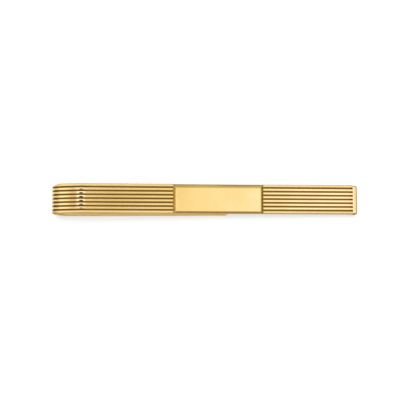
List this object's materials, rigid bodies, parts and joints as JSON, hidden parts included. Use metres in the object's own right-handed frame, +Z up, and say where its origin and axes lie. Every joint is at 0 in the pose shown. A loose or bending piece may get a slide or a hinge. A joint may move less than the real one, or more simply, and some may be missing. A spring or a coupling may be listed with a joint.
{
  "type": "tie clip",
  "caption": "Slide-on tie clip: a reeded gold strip folded round a spring bow, with a plain engraving plate, an end rim and a back leg.",
  "frame": {"origin": "under the middle of the clip, on the surface that its back leg lies on", "axes": "+X along the clip from the bow to the open end, +Y across the strip, +Z up from the back leg to the front"},
  "size_m": [0.0522, 0.0052, 0.0054],
  "materials": {
    "reeded_gold": "polished 14-karat yellow gold, reeded",
    "plate_gold": "polished 14-karat yellow gold, plain",
    "rim_gold": "polished 14-karat yellow gold, plain",
    "bow_gold": "polished 14-karat yellow gold, reeded",
    "leg_gold": "lightly brushed 14-karat yellow gold"
  },
  "bodies": {
    "leg": {"back_leg": "leg_gold"},
    "front": {"reeded_front": "reeded_gold", "engraving_plate": "plate_gold", "end_rim": "rim_gold", "spring_bow": "bow_gold"}
  },
  "joints": [
    {"name": "jaw_open", "type": "hinge", "parent": "leg", "child": "front", "pos_m": [-0.0238, 0, 0.0027], "axis": [0, -1, 0], "range_deg": [0, 6], "stiffness_Nm_per_rad": 1.2, "deforming": ["spring_bow"]}
  ]
}
